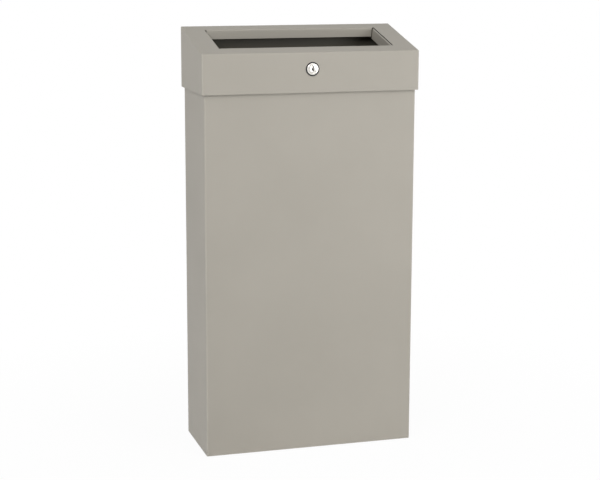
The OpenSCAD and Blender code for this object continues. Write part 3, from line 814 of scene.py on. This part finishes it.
# dome gives the points of the head's outline between hole and rim, as radius and depth below
# the top
rivetSizes = {
    "head": 4.0, "headHeight": 1.4, "rimHeight": 0.12,
    "dome": ((2.3, 0.34), (3.4, 0.86)), "domeRound": 0.5,
    "hole": 0.95, "holeDepth": 1.0, "holeEdge": 0.12, "holeRound": 0.08,
    "mandrel": 0.75, "mandrelDepth": 0.5, "mandrelRound": 0.15,
    "shank": 2.0, "swell": 2.8, "swellHeight": 1.4, "swellEdge": 0.2, "swellRound": 0.7,
    "panelGrip": 2.0,          # the panel and the body's rear return
    "clipGrip": 2.5,           # a hinge clip and the panel
    "rows": 5,                 # rivets up each side of the panel
}


def makeRivet(size, grip):
    top = size["headHeight"]
    mandrelTop = top - size["mandrelDepth"]
    holeBottom = top - size["holeDepth"]
    end = -grip - size["swellHeight"]
    centre = [(0, mandrelTop), (size["mandrel"], mandrelTop, size["mandrelRound"]),
              (size["mandrel"], holeBottom), (size["hole"], holeBottom),
              (size["hole"], top - size["holeEdge"], size["holeRound"])]
    dome = [(radius, top - depth, size["domeRound"]) for radius, depth in size["dome"]]
    rim = [(size["head"], size["rimHeight"]), (size["head"], 0)]
    behind = [(size["shank"], 0), (size["shank"], -grip),
              (size["swell"], -grip, size["swellEdge"]), (size["swell"], end, size["swellRound"]),
              (0, end)]
    return turnProfile(centre + dome + rim + behind, steps=32, closed=False)


def rivetsAt(points, grip):
    # each rivet's head faces the back, +Y
    bm = bmesh.new()
    for point in points:
        joinInto(bm, makeRivet(rivetSizes, grip),
                 Matrix.Translation(point) @ Matrix.Rotation(radians(-90), 4, "X"))
    return bm


panelLow, panelHigh = (1000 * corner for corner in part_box("panel_rivets"))
lowestZ, highestZ = panelLow.z + rivetSizes["head"], panelHigh.z - rivetSizes["head"]
panelPoints = [(side * (panelHigh.x - rivetSizes["head"]), panelHigh.y - rivetSizes["headHeight"],
                lowestZ + row * (highestZ - lowestZ) / (rivetSizes["rows"] - 1))
               for side in (-1, 1) for row in range(rivetSizes["rows"])]
finishPiece("panelRivets", rivetsAt(panelPoints, rivetSizes["panelGrip"]), Matrix.Identity(4),
            zinc, "bin", ["panel_rivets"])
clipLow, clipHigh = (1000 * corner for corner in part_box("clip_rivets"))
clipPoints = [(side * (clipHigh.x - rivetSizes["head"]), clipHigh.y - rivetSizes["headHeight"],
               (clipLow.z + clipHigh.z) / 2) for side in (-1, 1)]
finishPiece("clipRivets", rivetsAt(clipPoints, rivetSizes["clipGrip"]), Matrix.Identity(4),
            zinc, "bin", ["clip_rivets"])
print("rivets modelled")


# Rubber feet, pushed into the base

# radii, and heights above the floor
footSizes = {
    "floor": 9.0, "floorEdge": 0.7, "hollow": 4.6, "hollowDepth": 0.8, "hollowRound": 0.3,
    "hollowFlare": 0.7, "flareRound": 0.2, "top": 11.0, "height": 16.0,
    "stem": 4.0, "sheetTop": 17.0, "collar": 5.5, "collarTop": 19.0, "collarRound": 0.25,
    "tip": 3.0, "tipRound": 0.5,
}


def makeFoot(size):
    under = [(0, size["hollowDepth"]), (size["hollow"], size["hollowDepth"], size["hollowRound"]),
             (size["hollow"] + size["hollowFlare"], 0, size["flareRound"])]
    block = [(size["floor"], 0, size["floorEdge"]), (size["top"], size["height"]),
             (size["stem"], size["height"]), (size["stem"], size["sheetTop"])]
    snap = [(size["collar"], size["sheetTop"], size["collarRound"]),
            (size["tip"], size["collarTop"], size["tipRound"]), (0, size["collarTop"])]
    return turnProfile(under + block + snap, steps=48, closed=False)


feetLow, feetHigh = (1000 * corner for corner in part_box("rubber_feet"))
feet = bmesh.new()
for x in (feetLow.x + footSizes["top"], feetHigh.x - footSizes["top"]):
    for y in (feetLow.y + footSizes["top"], feetHigh.y - footSizes["top"]):
        joinInto(feet, makeFoot(footSizes), Matrix.Translation((x, y, 0)))
finishPiece("rubberFeet", feet, Matrix.Identity(4), rubber, "bin",
            ["rubber_feet"])
print("feet modelled")


# Bag frame: one rod bent round four corners and butt-welded in the middle of its rear run

# rod is the rod's radius and corner that of its bends, at the middle of the rod. The weld swells
# by weldBulge in its middle and by a share of that, weldShoulder, half-way to its ends
frameSizes = {"rod": 2.5, "corner": 14.0, "sides": 24, "cornerSteps": 12,
              "weldBulge": 0.35, "weldShoulder": 0.7, "weldWidth": 3.0}


def makeBagFrame(size, low, high):
    middleZ = (low.z + high.z) / 2
    left, right = low.x + size["rod"], high.x - size["rod"]
    front, rear = low.y + size["rod"], high.y - size["rod"]
    start = Vector((0, rear, middleZ))
    bm = bmesh.new()
    around = bm.verts.layers.float_vector.new("roundTheRod")
    bmesh.ops.create_circle(bm, cap_ends=False, segments=size["sides"], radius=size["rod"],
                            matrix=Matrix.Translation(start) @ Matrix.Rotation(radians(90), 4, "Y"))
    for vert in bm.verts:
        vert[around] = (vert.co - start) / size["rod"]

    def runTo(ring, step):
        made = bmesh.ops.extrude_edge_only(bm, edges=ring)["geom"]
        bmesh.ops.translate(bm, vec=step, verts=madeVerts(made))
        return madeEdges(made)

    def turnAt(ring, centre):
        return madeEdges(bmesh.ops.spin(bm, geom=ring, cent=(*centre, middleZ), axis=(0, 0, 1),
                                        angle=-pi / 2, steps=size["cornerSteps"],
                                        use_merge=False)["geom_last"])

    # out of the weld to the right, round the loop and back into the weld from the left
    corner = size["corner"]
    half = size["weldWidth"] / 2
    weldStep = (half / 2, 0, 0)
    wide, deep = right - left - 2 * corner, rear - front - 2 * corner
    ring = runTo(runTo(bm.edges[:], weldStep), weldStep)
    for step, centre in (((right - corner - half, 0, 0), (right - corner, rear - corner)),
                         ((0, -deep, 0), (right - corner, front + corner)),
                         ((-wide, 0, 0), (left + corner, front + corner)),
                         ((0, deep, 0), (left + corner, rear - corner))):
        ring = turnAt(runTo(ring, step), centre)
    ring = runTo(ring, (-left - corner - half, 0, 0))
    runTo(runTo(ring, weldStep), weldStep)
    bmesh.ops.remove_doubles(bm, verts=bm.verts, dist=1e-3)
    for vert in bm.verts:
        # the weld's rings stand at 0, 0.5 and 1 of its half width, and the last stay as they are
        fromMiddle = abs(vert.co.x) / half
        if vert.co.y > 0 and fromMiddle < 0.75:
            away = Vector((0, vert.co.y - rear, vert.co.z - middleZ)).normalized()
            share = 1 if fromMiddle < 0.25 else size["weldShoulder"]
            vert.co += away * size["weldBulge"] * share
    bmesh.ops.recalc_face_normals(bm, faces=bm.faces)
    return bm


frameLow, frameHigh = (1000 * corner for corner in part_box("bag_frame"))
finishPiece("bagFrameRod", makeBagFrame(frameSizes, frameLow, frameHigh), Matrix.Identity(4),
            rodSteel, "bag_ring", ["bag_frame"], smoothBelow=60)
print("bag frame modelled")

print("done")
